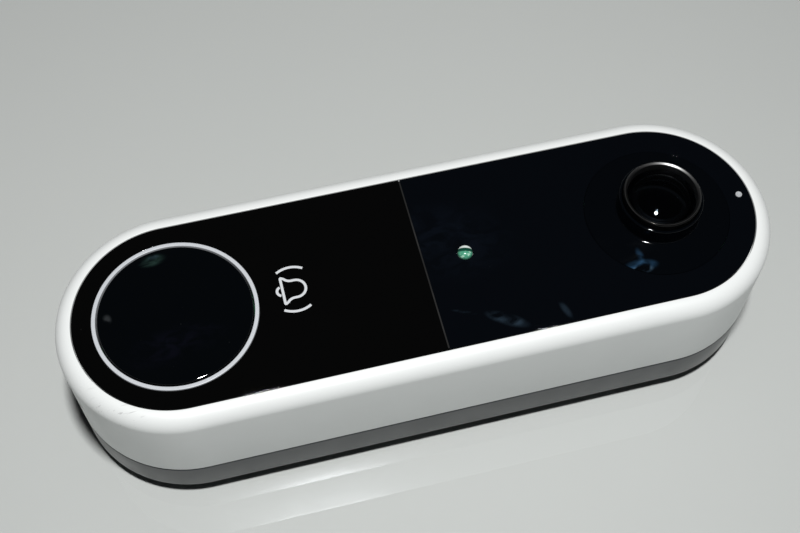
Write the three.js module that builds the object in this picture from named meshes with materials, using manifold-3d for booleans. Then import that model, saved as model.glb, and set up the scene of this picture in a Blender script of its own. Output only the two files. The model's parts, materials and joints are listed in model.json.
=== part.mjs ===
// Battery video doorbell, lying on its back: a stadium-shaped shell with a gloss face in two pieces, a camera
// on a low cone at the +X end, a round push button in a light ring at the -X end, and a wall plate beneath.
// Millimetres. X runs along the doorbell, Y across it, Z out of the wall; Z = 0 is the plate's back.
import * as THREE from 'three';
import { mergeVertices } from 'three/addons/utils/BufferGeometryUtils.js';
import Module from 'manifold-3d';

// ---------------------------------------------------------------- driving dimensions

const HALF_SPINE = 48.5;        // centre of each round end, from the middle
const SHELL_R = 23.3;           // half the shell's width
const FACE_R = 19.7;            // half the face's width
const PLATE_TOP = 8.0;          // wall plate's height
const SHELL_BOTTOM = 8.3;
const FACE_TOP = 29.3;
const RIM_FILLET = 3.2;
const GAP = 0.3;                // between neighbouring pieces
const SEAM_X = 0.2;             // joint between the two face pieces

const SHELL_WALL = 2.0;
const FASCIA_THICK = 1.6;
const LEDGE_R = 18.6;           // inner edge of the ledge under the face
const LEDGE_THICK = 1.5;

const BUTTON_X = -HALF_SPINE;
const BUTTON_R = 14.85;
const BUTTON_TOP = 29.7;
const BUTTON_THICK = 2.7;
const BUTTON_EDGE = 0.8;
const RING_INNER_R = 15.15;
const RING_OUTER_R = 15.93;

const CAMERA_X = HALF_SPINE;
const CONE_R = 14.5;            // rim of the shallow disc round the lens
const CONE_TOP = 34.6;          // top of the wall the disc rises to
const LENS_RING_R = 7.7;
const LENS_TOP = 36.5;
const BARREL_R = 5.4;

const SENSOR_X = 8.7;
const SENSOR_R = 1.6;
const MIC_X = 66.1;
const MIC_R = 0.65;

const BOARD_THICK = 1.0;
const CHASSIS_BOTTOM = 20.6;
const CHASSIS_TOP = 22.2;
const COVER_BOTTOM = 8.6;
const COVER_TOP = 10.0;
const MAIN_BOARD_BOTTOM = 17.3;

const BOSS_XY = [24, 18.4];     // screws that hold the chassis in the shell
const POST_XY = [58, 14.5];     // screws that hold the rear cover on the chassis
const TERMINAL_XY = [36, 6];
const WALL_SCREW_X = 40;
const WALL_SCREW_HOLE_R = 2.2;

const HOOK_X = 64.0;            // plate's hook at the camera end
const LATCH_X = -64.0;          // plate's latch at the button end
const PLATE_FLOOR = 2.4;

const END_SEGMENTS = 18;        // facets on each half-round end
const ROUND_SEGMENTS = 36;      // facets on a round piece that is seen

// ---------------------------------------------------------------- solids

const wasm = await Module();
wasm.setup();

function toSolid(geometry) {
  const bare = geometry.index ? geometry.clone() : geometry;
  for (const name of Object.keys(bare.attributes)) {
    if (name !== 'position') bare.deleteAttribute(name);
  }
  const merged = mergeVertices(bare, 1e-4);
  return new wasm.Manifold(new wasm.Mesh({
    numProp: 3,
    vertProperties: new Float32Array(merged.attributes.position.array),
    triVerts: new Uint32Array(merged.index.array),
  }));
}

function toGeometry(solid) {
  const mesh = solid.getMesh();
  const geometry = new THREE.BufferGeometry();
  geometry.setAttribute('position', new THREE.BufferAttribute(mesh.vertProperties, 3));
  geometry.setIndex(new THREE.BufferAttribute(mesh.triVerts, 1));
  geometry.computeVertexNormals();
  return geometry;
}

function cut(base, ...tools) {
  let solid = toSolid(base);
  for (const tool of tools) solid = solid.subtract(toSolid(tool));
  return toGeometry(solid);
}

function join(...pieces) {
  let solid = toSolid(pieces[0]);
  for (const piece of pieces.slice(1)) solid = solid.add(toSolid(piece));
  return toGeometry(solid);
}

function common(a, b) {
  return toGeometry(toSolid(a).intersect(toSolid(b)));
}

// A box from its low and high limits along each axis.
function box([x0, x1], [y0, y1], [z0, z1]) {
  const geometry = new THREE.BoxGeometry(x1 - x0, y1 - y0, z1 - z0);
  return geometry.translate((x0 + x1) / 2, (y0 + y1) / 2, (z0 + z1) / 2);
}

// A box centred on a point of the XY plane.
function block(x, y, sizeX, sizeY, z0, z1) {
  return box([x - sizeX / 2, x + sizeX / 2], [y - sizeY / 2, y + sizeY / 2], [z0, z1]);
}

function cylinder(radius, z0, z1, x = 0, y = 0, segments = 20) {
  const geometry = new THREE.CylinderGeometry(radius, radius, z1 - z0, segments);
  return geometry.rotateX(Math.PI / 2).translate(x, y, (z0 + z1) / 2);
}

// A solid of revolution about a line parallel to Z. Profile points are [radius, z], anticlockwise.
function turned(profile, x = 0, y = 0, segments = 20) {
  const points = profile.map(([radius, z]) => new THREE.Vector2(radius, z));
  const onAxis = profile[0][0] === 0;
  if (!onAxis) points.push(points[0].clone());
  return new THREE.LatheGeometry(points, segments).rotateX(Math.PI / 2).translate(x, y, 0);
}

// Points of an arc in a profile, both ends included. Angles in degrees.
function arc(centreR, centreZ, radius, from, to, steps) {
  return Array.from({ length: steps + 1 }, (_, i) => {
    const angle = THREE.MathUtils.degToRad(from + (to - from) * i / steps);
    return [centreR + radius * Math.cos(angle), centreZ + radius * Math.sin(angle)];
  });
}

function stadiumShape(radius, x0 = -HALF_SPINE, x1 = HALF_SPINE) {
  const shape = new THREE.Shape();
  shape.moveTo(x0, -radius);
  shape.lineTo(x1, -radius);
  shape.absarc(x1, 0, radius, -Math.PI / 2, Math.PI / 2, false);
  shape.lineTo(x0, radius);
  shape.absarc(x0, 0, radius, Math.PI / 2, Math.PI * 1.5, false);
  return shape;
}

function roundedShape(x0, x1, halfY, radius) {
  const shape = new THREE.Shape();
  shape.moveTo(x0 + radius, -halfY);
  shape.lineTo(x1 - radius, -halfY);
  shape.absarc(x1 - radius, -halfY + radius, radius, -Math.PI / 2, 0, false);
  shape.lineTo(x1, halfY - radius);
  shape.absarc(x1 - radius, halfY - radius, radius, 0, Math.PI / 2, false);
  shape.lineTo(x0 + radius, halfY);
  shape.absarc(x0 + radius, halfY - radius, radius, Math.PI / 2, Math.PI, false);
  shape.lineTo(x0, -halfY + radius);
  shape.absarc(x0 + radius, -halfY + radius, radius, Math.PI, Math.PI * 1.5, false);
  return shape;
}

function extruded(shape, z0, z1, curveSegments = END_SEGMENTS) {
  const options = { depth: z1 - z0, bevelEnabled: false, curveSegments };
  return new THREE.ExtrudeGeometry(shape, options).translate(0, 0, z0);
}

// A closed profile of [radius, z] points, anticlockwise, carried round the stadium.
function stadiumRing(profile, segments = END_SEGMENTS) {
  const stations = [];
  for (const [side, start] of [[1, -Math.PI / 2], [-1, Math.PI / 2]]) {
    for (let i = 0; i <= segments; i += 1) {
      stations.push([side * HALF_SPINE, start + Math.PI * i / segments]);
    }
  }
  const count = profile.length;
  const positions = [];
  const indices = [];
  stations.forEach(([centreX, angle], s) => {
    const next = (s + 1) % stations.length;
    profile.forEach(([radius, z], p) => {
      const nextP = (p + 1) % count;
      positions.push(centreX + radius * Math.cos(angle), radius * Math.sin(angle), z);
      indices.push(s * count + p, next * count + p, next * count + nextP);
      indices.push(s * count + p, next * count + nextP, s * count + nextP);
    });
  });
  const geometry = new THREE.BufferGeometry();
  geometry.setAttribute('position', new THREE.Float32BufferAttribute(positions, 3));
  geometry.setIndex(indices);
  geometry.computeVertexNormals();
  return geometry;
}

// Calls make with each of the four sign pairs, for what repeats at four corners.
function fourCorners([x, y], make) {
  return [[1, 1], [1, -1], [-1, 1], [-1, -1]].map(([sx, sy], i) => make(sx * x, sy * y, i + 1));
}

// ---------------------------------------------------------------- materials

function material(color, roughness, metalness = 0, opacity = 1) {
  return new THREE.MeshStandardMaterial({ color, roughness, metalness, opacity, transparent: opacity < 1 });
}

const materials = {
  whitePlastic: () => material(0xf1f1ee, 0.42),
  glossBlack: () => material(0x060607, 0.06),
  glossBlueBlack: () => material(0x05060b, 0.06),
  darkPlastic: () => material(0x2f3133, 0.45),
  innerPlastic: () => material(0x1c1d1f, 0.6),
  lightGrey: () => material(0xc4c7c9, 0.35),
  clear: () => material(0xe8f2ee, 0.03, 0, 0.35),
  lensGlass: () => material(0x1a2140, 0.03, 0, 0.6),
  filterGlass: () => material(0x7a2f4a, 0.05, 0, 0.6),
  silicone: () => material(0x3a3c3e, 0.8),
  rubber: () => material(0x1a1a1a, 0.85),
  board: () => material(0x174d33, 0.5),
  chip: () => material(0x151618, 0.5),
  steel: () => material(0xb9bcbf, 0.3, 1),
  gold: () => material(0xcaa24a, 0.3, 1),
  batteryWrap: () => material(0x38424e, 0.45),
  cone: () => material(0x26282a, 0.7),
};

const doorbell = new THREE.Group();

function add(name, geometry, look) {
  const mesh = new THREE.Mesh(geometry, materials[look]());
  mesh.name = name;
  doorbell.add(mesh);
}

// ---------------------------------------------------------------- shell and face

const fasciaBottom = FACE_TOP - FASCIA_THICK;
const ledgeTop = fasciaBottom - GAP;
const ledgeBottom = ledgeTop - LEDGE_THICK;
const shellInner = SHELL_R - SHELL_WALL;
const fasciaHoleEase = 0.2;

function frontShell() {
  const rimInner = FACE_R + fasciaHoleEase;
  const ring = stadiumRing([
    [SHELL_R, SHELL_BOTTOM],
    ...arc(SHELL_R - RIM_FILLET, FACE_TOP - RIM_FILLET, RIM_FILLET, 0, 90, 4),
    [rimInner, FACE_TOP],
    [rimInner, ledgeTop],
    [LEDGE_R, ledgeTop],
    [LEDGE_R, ledgeBottom],
    [shellInner, ledgeBottom],
    [shellInner, SHELL_BOTTOM],
  ]);
  const bosses = fourCorners(BOSS_XY, (x, y) => cylinder(2.6, CHASSIS_TOP + GAP, ledgeTop - 0.4, x, y, 12));
  const holes = fourCorners(BOSS_XY, (x, y) => cylinder(0.95, CHASSIS_TOP, ledgeTop - 0.9, x, y, 8));
  const outside = stadiumRing([[SHELL_R - 0.5, 9], [SHELL_R + 6, 9], [SHELL_R + 6, 28], [SHELL_R - 0.5, 28]]);
  const trimmed = bosses.map((boss) => cut(boss, outside));
  return cut(join(ring, ...trimmed), ...holes, speakerSlot());
}

// The slot in the button end that lets the speaker's sound out.
function speakerSlot() {
  const length = 20;
  const height = 1.5;
  const slotZ = 18.5;
  const shape = roundedShape(-height / 2, height / 2, length / 2, height * 0.49);
  const slot = new THREE.ExtrudeGeometry(shape, { depth: 8, bevelEnabled: false, curveSegments: 4 });
  return slot.rotateY(Math.PI / 2).translate(-HALF_SPINE - SHELL_R - 1, 0, slotZ);
}

function fascia(keepRange, ...holes) {
  const plate = extruded(stadiumShape(FACE_R), fasciaBottom, FACE_TOP);
  const half = common(plate, box(keepRange, [-30, 30], [20, 40]));
  return cut(half, ...holes);
}

add('front_shell', frontShell(), 'whitePlastic');
add('lower_fascia', fascia(
  [-90, SEAM_X - GAP / 2],
  cylinder(RING_OUTER_R + 0.17, 20, 40, BUTTON_X, 0, ROUND_SEGMENTS),
), 'glossBlack');
add('upper_fascia', fascia(
  [SEAM_X + GAP / 2, 90],
  cylinder(CONE_R + fasciaHoleEase, 20, 40, CAMERA_X, 0, ROUND_SEGMENTS),
  cylinder(SENSOR_R + fasciaHoleEase, 20, 40, SENSOR_X, 0, 16),
  cylinder(MIC_R + fasciaHoleEase, 20, 40, MIC_X, 0, 12),
), 'glossBlueBlack');

// ---------------------------------------------------------------- camera

const upperBoardBottom = CHASSIS_TOP + GAP;
const upperBoardTop = upperBoardBottom + BOARD_THICK;
const partsOnUpperBoard = upperBoardTop + GAP;

// A shallow disc that rises to an upright wall round the window.
function cameraBezel() {
  const bore = LENS_RING_R + fasciaHoleEase;
  const wallR = LENS_RING_R + 0.6;
  const flank = [
    [CONE_R, FACE_TOP], [wallR + 0.7, FACE_TOP + 1.25], [wallR, FACE_TOP + 2.1],
    [wallR, CONE_TOP - 0.3], [wallR - 0.25, CONE_TOP],
  ];
  return turned([[bore, fasciaBottom], [CONE_R, fasciaBottom], ...flank, [bore, CONE_TOP]], CAMERA_X, 0, ROUND_SEGMENTS);
}

function lensRing() {
  const inner = LENS_RING_R - 0.7;
  const top = LENS_TOP - 0.5;
  return turned([
    [inner, fasciaBottom], [LENS_RING_R, fasciaBottom], [LENS_RING_R, top - 0.7], [LENS_RING_R - 0.12, top - 0.2],
    [LENS_RING_R - 0.35, top], [inner, top - 0.25],
  ], CAMERA_X, 0, ROUND_SEGMENTS);
}

// Domed window of even thickness with a straight skirt.
function lensCover() {
  const edgeR = LENS_RING_R - 0.9;
  const sag = 2.2;
  const thickness = 0.8;
  const sphereR = (edgeR * edgeR + sag * sag) / (2 * sag);
  const edgeAngle = THREE.MathUtils.radToDeg(Math.asin(edgeR / sphereR));
  const innerEdge = THREE.MathUtils.radToDeg(Math.asin((edgeR - thickness) / (sphereR - thickness)));
  const centreZ = LENS_TOP - sphereR;
  const skirtBottom = 31.0;
  const outer = arc(0, centreZ, sphereR, 90 - edgeAngle, 90, 4);
  const inner = arc(0, centreZ, sphereR - thickness, 90, 90 - innerEdge, 4);
  outer[outer.length - 1][0] = 0;
  inner[0][0] = 0;
  return turned([
    ...inner, [edgeR - thickness, skirtBottom], [edgeR, skirtBottom], ...outer,
  ], CAMERA_X, 0, ROUND_SEGMENTS);
}

function lensHolder() {
  const body = block(CAMERA_X, 0, 15, 15, partsOnUpperBoard, 27.2);
  return cut(body, cylinder(BARREL_R + 0.2, 20, 30, CAMERA_X, 0, 24));
}

function lensBarrel() {
  const inner = BARREL_R - 0.8;
  const bottom = 25.9;
  const top = 32.9;
  return turned([
    [inner, bottom], [BARREL_R, bottom], [BARREL_R, top - 0.3], [BARREL_R - 0.3, top], [inner, top],
  ], CAMERA_X);
}

function lensTrimRing() {
  return turned([[4.5, 33.2], [5.7, 33.2], [5.7, 33.5], [5.3, 33.8], [4.5, 33.8]], CAMERA_X);
}

// A round glass with one or two bulging faces.
function lensGlass(radius, bottom, middle, top) {
  const steps = 3;
  const profile = [[0, bottom]];
  for (let i = 1; i <= steps; i += 1) {
    const r = radius * i / steps;
    profile.push([r, bottom + (middle - bottom) * (i / steps) ** 2]);
  }
  for (let i = steps; i >= 0; i -= 1) {
    const r = radius * i / steps;
    profile.push([r, top - (top - middle - 0.6) * (i / steps) ** 2]);
  }
  return turned(profile, CAMERA_X);
}

add('camera_bezel', cameraBezel(), 'glossBlack');
add('lens_ring', lensRing(), 'glossBlack');
add('lens_cover', lensCover(), 'clear');
add('lens_trim_ring', lensTrimRing(), 'steel');
add('lens_barrel', lensBarrel(), 'chip');
add('lens_front_element', lensGlass(4.2, 31.4, 31.4, 34.2), 'lensGlass');
add('lens_rear_element', lensGlass(4.3, 27.2, 27.8, 29.2), 'lensGlass');
add('ir_filter', cylinder(5.2, 25.1, 25.6, CAMERA_X), 'filterGlass');
add('lens_holder', lensHolder(), 'innerPlastic');
add('image_sensor', block(CAMERA_X, 0, 8, 7, partsOnUpperBoard, partsOnUpperBoard + 0.8), 'chip');
add('upper_board', extruded(stadiumShape(15.5, 19.5, 53.2), upperBoardBottom, upperBoardTop, 10), 'board');
[-1, 1].forEach((side, i) => {
  const led = block(CAMERA_X, side * 11.2, 3, 3, partsOnUpperBoard, partsOnUpperBoard + 1.2);
  add(`ir_led_${i + 1}`, led, 'chip');
});

// ---------------------------------------------------------------- light sensor and microphone

// A clear bead that stands out of the face, on a stem with a collar.
function sensorLens() {
  const collarTop = fasciaBottom - GAP;
  const bead = arc(0, FACE_TOP - 0.6, SENSOR_R, 20, 90, 4);
  bead[bead.length - 1][0] = 0;
  return turned([
    [0, 25.0], [1.2, 25.0], [1.2, 26.0], [2.3, 26.0], [2.3, collarTop], [SENSOR_R * 0.94, collarTop], ...bead,
  ], SENSOR_X, 0, 14);
}

add('sensor_lens', sensorLens(), 'clear');
add('light_sensor', block(SENSOR_X, 0, 2, 2, partsOnUpperBoard, partsOnUpperBoard + 0.7), 'chip');
add('microphone_port', cylinder(MIC_R, 25.5, FACE_TOP + 0.05, MIC_X, 0, 12), 'lightGrey');
add('microphone', block(MIC_X, 0, 3, 3.6, partsOnUpperBoard, partsOnUpperBoard + 1.2), 'steel');

// ---------------------------------------------------------------- button

const buttonBoardTop = upperBoardTop;
const partsOnButtonBoard = partsOnUpperBoard;
const switchTop = partsOnButtonBoard + 1.4;
const plungerTop = switchTop + 0.8;
const stemBottom = plungerTop + GAP;

// Gloss disc with a rounded edge and a short stem that meets the switch.
function buttonCap() {
  const bottom = BUTTON_TOP - BUTTON_THICK;
  const edge = arc(BUTTON_R - BUTTON_EDGE, BUTTON_TOP - BUTTON_EDGE, BUTTON_EDGE, 0, 90, 3);
  return turned([
    [0, stemBottom], [2.6, stemBottom], [2.6, bottom], [BUTTON_R, bottom], ...edge, [0, BUTTON_TOP],
  ], BUTTON_X, 0, ROUND_SEGMENTS);
}

function buttonLightRing() {
  const bottom = 24.9;
  const top = FACE_TOP + 0.1;
  return turned([
    [RING_INNER_R, bottom], [RING_OUTER_R, bottom], [RING_OUTER_R, top], [RING_INNER_R, top],
  ], BUTTON_X, 0, ROUND_SEGMENTS);
}

// Silicone ring that pushes the button back.
function buttonPad() {
  const top = BUTTON_TOP - BUTTON_THICK - GAP;
  return turned([
    [8.4, partsOnButtonBoard], [10.4, partsOnButtonBoard], [9.4, top], [8.0, top],
  ], BUTTON_X, 0, 24);
}

function switchBase() {
  const body = block(BUTTON_X, 0, 6.2, 6.2, partsOnButtonBoard, switchTop);
  return cut(body, cylinder(2.0, partsOnButtonBoard + 0.3, 30, BUTTON_X, 0, 16));
}

add('button_cap', buttonCap(), 'glossBlack');
add('button_light_ring', buttonLightRing(), 'lightGrey');
add('button_pad', buttonPad(), 'silicone');
add('switch_base', switchBase(), 'chip');
add('switch_plunger', cylinder(1.7, plungerTop - 1.1, plungerTop, BUTTON_X, 0, 16), 'whitePlastic');
add('button_board', cylinder(17.4, upperBoardBottom, buttonBoardTop, BUTTON_X, 0, ROUND_SEGMENTS), 'board');
[45, 135, 225, 315].forEach((angle, i) => {
  const turn = THREE.MathUtils.degToRad(angle);
  const ringR = (RING_INNER_R + RING_OUTER_R) / 2;
  const x = BUTTON_X + ringR * Math.cos(turn);
  const led = block(x, ringR * Math.sin(turn), 1.6, 1.6, partsOnButtonBoard, partsOnButtonBoard + 0.7);
  add(`ring_led_${i + 1}`, led, 'lightGrey');
});

// ---------------------------------------------------------------- inner frame, boards and battery

const mainBoardTop = MAIN_BOARD_BOTTOM + BOARD_THICK;

function chassis() {
  const deck = extruded(stadiumShape(20.7), CHASSIS_BOTTOM, CHASSIS_TOP, 12);
  const posts = fourCorners(POST_XY, (x, y) => cylinder(2.3, COVER_TOP + GAP, CHASSIS_BOTTOM + 0.2, x, y, 12));
  return cut(
    join(deck, ...posts),
    ...fourCorners(POST_XY, (x, y) => cylinder(0.95, 8, 17, x, y, 8)),
    ...fourCorners(BOSS_XY, (x, y) => cylinder(1.3, 18, 24, x, y, 8)),
    block(30.5, 0, 6, 12, 18, 24),
    block(-36.5, 0, 5, 10, 18, 24),
  );
}

function shieldCan() {
  const bottom = mainBoardTop + GAP;
  const top = CHASSIS_BOTTOM - GAP;
  return cut(box([-12, 14], [-9, 9], [bottom, top]), box([-11.6, 13.6], [-8.6, 8.6], [bottom - 1, top - 0.4]));
}

// Flat bent aerial: a bar with two legs.
function wifiAntenna() {
  const shape = new THREE.Shape([
    [56, -10], [65, -10], [65, -8], [58, -8], [58, 0], [63, 0], [63, 2], [58, 2], [58, 10], [56, 10],
  ].map(([x, y]) => new THREE.Vector2(x, y)));
  return extruded(shape, CHASSIS_BOTTOM - GAP - 0.25, CHASSIS_BOTTOM - GAP);
}

add('chassis', chassis(), 'innerPlastic');
add('main_board', extruded(roundedShape(-46, 54, 16.5, 3), MAIN_BOARD_BOTTOM, mainBoardTop, 4), 'board');
add('shield_can', shieldCan(), 'steel');
add('wifi_antenna', wifiAntenna(), 'gold');
add('board_connector', block(30.5, 0, 3, 9, mainBoardTop + GAP, upperBoardBottom - GAP), 'chip');
add('button_connector', block(-36.5, 0, 2.4, 7, mainBoardTop + GAP, upperBoardBottom - GAP), 'chip');
add('battery_pack', extruded(roundedShape(-46, 28, 17, 3), 10.7, MAIN_BOARD_BOTTOM - GAP, 6), 'batteryWrap');
[-1, 1].forEach((side, i) => {
  add(`battery_contact_${i + 1}`, block(29.2, side * 6, 1.8, 2, 13, MAIN_BOARD_BOTTOM - GAP), 'gold');
});

// ---------------------------------------------------------------- speaker

// A slim driver that faces the slot in the button end, with a duct between the two.
const speakerBack = -58.5;
const speakerFront = -62.5;
const speakerMiddleZ = 16.6;

function speakerFrame() {
  const body = box([speakerFront, speakerBack], [-10.5, 10.5], [speakerMiddleZ - 3.6, speakerMiddleZ + 3.6]);
  const mouth = box([speakerFront - 1, speakerFront + 1.6], [-9.5, 9.5], [speakerMiddleZ - 2.7, speakerMiddleZ + 2.7]);
  return cut(body, mouth);
}

function speakerDuct() {
  const outer = box([-72, speakerFront - GAP], [-10.8, 10.8], [speakerMiddleZ - 3.6, speakerMiddleZ + 3.6]);
  const inner = box([-80, -60], [-9.4, 9.4], [speakerMiddleZ - 2.5, speakerMiddleZ + 2.6]);
  const wall = cylinder(shellInner - GAP, 10, 22, -HALF_SPINE, 0, 64);
  return cut(common(outer, wall), inner);
}

function speakerCone() {
  const mouthBack = speakerFront + 1.6 - GAP;
  const flat = box([mouthBack - 0.6, mouthBack], [-9.1, 9.1], [speakerMiddleZ - 2.3, speakerMiddleZ + 2.3]);
  const dome = new THREE.SphereGeometry(1, 12, 6).scale(1.0, 5.4, 1.5).translate(mouthBack - 0.3, 0, speakerMiddleZ);
  return join(flat, common(dome, box([-80, mouthBack - 0.2], [-9, 9], [10, 22])));
}

add('speaker_frame', speakerFrame(), 'innerPlastic');
add('speaker_cone', speakerCone(), 'cone');
add('speaker_magnet', box([speakerBack + GAP, -55.5], [-7, 7], [speakerMiddleZ - 2.6, speakerMiddleZ + 2.6]), 'steel');
add('speaker_duct', speakerDuct(), 'rubber');

// ---------------------------------------------------------------- rear cover

const coverR = shellInner - GAP;

function rearCover() {
  return cut(
    extruded(stadiumShape(coverR), COVER_BOTTOM, COVER_TOP, 16),
    ...fourCorners(POST_XY, (x, y) => cylinder(1.3, 8, 12, x, y, 8)),
    ...[-1, 1].map((side) => cylinder(1.7, 8, 12, TERMINAL_XY[0], side * TERMINAL_XY[1], 12)),
    box([HOOK_X - 1.0, HOOK_X + 1.8], [-5.6, 5.6], [8, 12]),
    box([LATCH_X - 0.4, LATCH_X + 3.6], [-4.6, 4.6], [8, 12]),
  );
}

// Screw standing head down, with a cross cut in the head.
function screw(x, y, headR, headZ, shankR, tipZ, headThick) {
  const head = turned([
    [0, headZ], [headR - 0.3, headZ], [headR, headZ + 0.3], [headR, headZ + headThick],
    [shankR, headZ + headThick], [shankR, tipZ - shankR * 0.6], [0, tipZ],
  ], x, y, 8);
  const slotLength = headR * 1.2;
  const slotWidth = headR * 0.28;
  return cut(
    head,
    block(x, y, slotLength, slotWidth, headZ - 1, headZ + headThick * 0.45),
    block(x, y, slotWidth, slotLength, headZ - 1, headZ + headThick * 0.45),
  );
}

function terminalLug(side) {
  const [x, y] = [TERMINAL_XY[0], side * TERMINAL_XY[1]];
  const nut = block(x, y, 5, 5, COVER_TOP + GAP, 13.6);
  const leg = block(x - 1.9, y, 1.0, 3, 13.2, MAIN_BOARD_BOTTOM - GAP);
  return cut(join(nut, leg), cylinder(1.6, 8, 13.0, x, y, 12));
}

add('rear_cover', rearCover(), 'darkPlastic');
add('seal_ring', stadiumRing([
  [coverR - 1.0, COVER_TOP + GAP], [coverR, COVER_TOP + GAP], [coverR, COVER_TOP + 1.3], [coverR - 1.0, COVER_TOP + 1.3],
], 16), 'silicone');
fourCorners(BOSS_XY, (x, y, i) => {
  add(`chassis_screw_${i}`, screw(x, y, 1.9, 19.3, 0.8, 25.6, 1.0), 'steel');
});
fourCorners(POST_XY, (x, y, i) => {
  add(`cover_screw_${i}`, screw(x, y, 1.9, 7.3, 0.8, 15.6, 1.0), 'steel');
});
[-1, 1].forEach((side, i) => {
  const [x, y] = [TERMINAL_XY[0], side * TERMINAL_XY[1]];
  add(`terminal_screw_${i + 1}`, screw(x, y, 3.1, 6.3, 1.3, 12.5, 2.0), 'steel');
  add(`terminal_lug_${i + 1}`, terminalLug(side), 'gold');
});

// ---------------------------------------------------------------- wall plate and its latch

const latchBase = { x0: LATCH_X - 2.5, x1: LATCH_X + 8, halfY: 4.9, z0: PLATE_FLOOR + GAP, z1: 4.5 };

// Hook that the rear cover's edge swings under.
function plateHook() {
  return join(
    box([HOOK_X, HOOK_X + 1.3], [-5, 5], [PLATE_FLOOR - 0.4, 12.9]),
    box([HOOK_X + 0.5, HOOK_X + 3.1], [-5, 5], [11.5, 12.9]),
  );
}

// Two rails with lips that guide the latch, its stops and the block behind its spring.
function latchGuides() {
  const floor = PLATE_FLOOR - 0.4;
  const guides = [-1, 1].flatMap((side) => [
    block(LATCH_X + 3, side * 5.9, 9, 1.3, floor, 5.7),
    block(LATCH_X + 3, side * 4.95, 9, 1.1, 4.9, 5.7),
    block(latchBase.x0 - 0.9, side * 3.6, 1.2, 3.2, floor, 4.7),
  ]);
  return [...guides, block(latchBase.x1 + 4.6, 0, 1.4, 7, floor, 4.7)];
}

function mountingPlate() {
  const body = extruded(stadiumShape(SHELL_R), 0, PLATE_TOP);
  const pocket = extruded(stadiumShape(SHELL_R - 2.2), PLATE_FLOOR, PLATE_TOP + 1, 14);
  const bossesAt = [-WALL_SCREW_X, WALL_SCREW_X];
  const countersink = (x) => turned([[0, 2.9], [WALL_SCREW_HOLE_R, 2.9], [4.2, 5], [0, 5]], x, 0, 16);
  const pinHole = new THREE.CylinderGeometry(0.9, 0.9, 6, 10).rotateZ(Math.PI / 2);
  return cut(
    join(
      cut(body, pocket),
      plateHook(),
      ...latchGuides(),
      ...bossesAt.map((x) => cylinder(6, PLATE_FLOOR - 0.4, 4, x, 0, 16)),
    ),
    ...bossesAt.map((x) => cylinder(WALL_SCREW_HOLE_R, -1, 5, x, 0, 16)),
    ...bossesAt.map(countersink),
    extruded(roundedShape(6, 22, 9, 3), -1, 4, 6),
    pinHole.translate(-HALF_SPINE - SHELL_R, 0, 3.6),
  );
}

function releaseLatch() {
  const { x0, x1, halfY, z0, z1 } = latchBase;
  return join(
    box([x0, x1], [-halfY, halfY], [z0, z1]),
    box([LATCH_X, LATCH_X + 1.6], [-3.9, 3.9], [z1 - 0.2, 11.6]),
    box([LATCH_X - 1.4, LATCH_X + 0.4], [-3.9, 3.9], [10.3, 11.6]),
  );
}

// Bowed leaf between the latch and the block behind it.
function latchSpring() {
  const thickness = 0.3;
  const halfChord = 3.2;
  const bow = 2.6;
  const radius = (halfChord * halfChord + bow * bow) / (2 * bow);
  const half = Math.asin(halfChord / radius);
  const shape = new THREE.Shape();
  shape.absarc(0, 0, radius, -half, half, false);
  shape.absarc(0, 0, radius - thickness, half, -half, true);
  const leaf = extruded(shape, latchBase.z0 + 0.2, latchBase.z1 - 0.2, 8);
  return leaf.translate(latchBase.x1 + GAP + bow - radius + 0.6, 0, 0);
}

add('mounting_plate', mountingPlate(), 'darkPlastic');
add('release_latch', releaseLatch(), 'innerPlastic');
add('latch_spring', latchSpring(), 'steel');

export default doorbell;
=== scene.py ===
"""A video doorbell lying on a pale table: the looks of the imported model."""
import json
import math

import bmesh
import bpy
from mathutils import Matrix, Vector


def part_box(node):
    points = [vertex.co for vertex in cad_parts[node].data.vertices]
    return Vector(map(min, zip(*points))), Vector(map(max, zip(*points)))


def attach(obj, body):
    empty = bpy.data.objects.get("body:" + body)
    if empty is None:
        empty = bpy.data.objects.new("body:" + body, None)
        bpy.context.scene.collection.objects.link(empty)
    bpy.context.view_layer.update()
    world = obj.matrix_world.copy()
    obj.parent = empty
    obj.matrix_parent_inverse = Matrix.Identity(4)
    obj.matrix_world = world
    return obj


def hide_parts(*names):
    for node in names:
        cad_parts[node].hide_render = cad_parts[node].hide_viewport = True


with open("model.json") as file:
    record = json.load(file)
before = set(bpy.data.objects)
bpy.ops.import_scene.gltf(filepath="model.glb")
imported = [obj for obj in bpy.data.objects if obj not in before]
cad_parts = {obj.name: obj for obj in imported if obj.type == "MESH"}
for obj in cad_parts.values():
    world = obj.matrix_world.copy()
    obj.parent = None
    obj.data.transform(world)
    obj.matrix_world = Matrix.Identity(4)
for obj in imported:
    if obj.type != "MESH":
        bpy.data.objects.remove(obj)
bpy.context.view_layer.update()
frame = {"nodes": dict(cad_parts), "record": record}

MM = 0.001


def millimetres(node):
    """A CAD node's lowest and highest corners, in millimetres."""
    low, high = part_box(node)
    return low / MM, high / MM


# ---------------------------------------------------------------- sizes, all from the CAD model (millimetres)

shell_low, shell_high = millimetres("front_shell")
lower_high = millimetres("lower_fascia")[1]
upper_low, upper_high = millimetres("upper_fascia")
ring_low, ring_high = millimetres("button_light_ring")
cap_low, cap_high = millimetres("button_cap")
bezel_low, bezel_high = millimetres("camera_bezel")
lens_ring_low, lens_ring_high = millimetres("lens_ring")
window_low, window_high = millimetres("lens_cover")
barrel_low, barrel_high = millimetres("lens_barrel")
trim_low, trim_high = millimetres("lens_trim_ring")
front_glass_low, front_glass_high = millimetres("lens_front_element")
bead_low, bead_high = millimetres("sensor_lens")
mic_low, mic_high = millimetres("microphone_port")
cover_low, cover_high = millimetres("rear_cover")

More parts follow.
